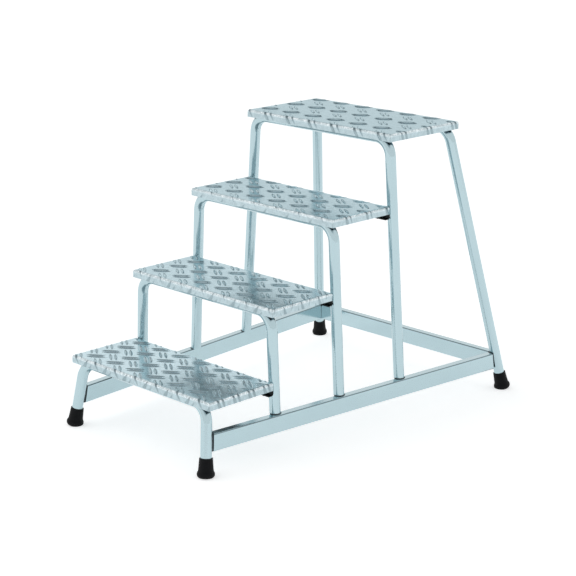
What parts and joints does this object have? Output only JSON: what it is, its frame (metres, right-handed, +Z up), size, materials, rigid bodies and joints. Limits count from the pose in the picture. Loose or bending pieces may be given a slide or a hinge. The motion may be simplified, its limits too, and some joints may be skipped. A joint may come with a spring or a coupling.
{
  "type": "aluminium machine steps",
  "caption": "Free-standing steps of folded aluminium checker-plate treads on bent-tube hoops, with a deeper top platform, rectangular base rails and black rubber feet.",
  "frame": {"origin": "on the floor, in the middle of the box round the whole stand", "axes": "+X to the right for a person about to climb, +Y from the lowest tread to the top platform, +Z up"},
  "size_m": [0.7968, 1.1325, 0.8025],
  "materials": {
    "checker_plate": "bright rolled checker plate with raised bars, folded",
    "tube": "smooth satin drawn tube",
    "rail": "smooth satin extruded tube",
    "weld": "weld bead as laid",
    "rubber": "matt moulded rubber",
    "washer": "zinc-plated steel"
  },
  "bodies": {
    "root": {"tread_1": "checker_plate", "tread_2": "checker_plate", "tread_3": "checker_plate", "tread_4": "checker_plate", "front_hoop": "tube", "step_hoop_2": "tube", "step_hoop_3": "tube", "step_hoop_4": "tube", "rear_hoop": "tube", "left_rail": "rail", "right_rail": "rail", "rear_rail": "rail", "tread_1_welds": "weld", "tread_2_welds": "weld", "tread_3_welds": "weld", "tread_4_welds": "weld", "left_rail_welds": "weld", "right_rail_welds": "weld", "rear_rail_welds": "weld", "front_left_foot": "rubber", "front_right_foot": "rubber", "rear_left_foot": "rubber", "rear_right_foot": "rubber", "front_left_foot_washer": "washer", "front_right_foot_washer": "washer", "rear_left_foot_washer": "washer", "rear_right_foot_washer": "washer"}
  },
  "joints": []
}
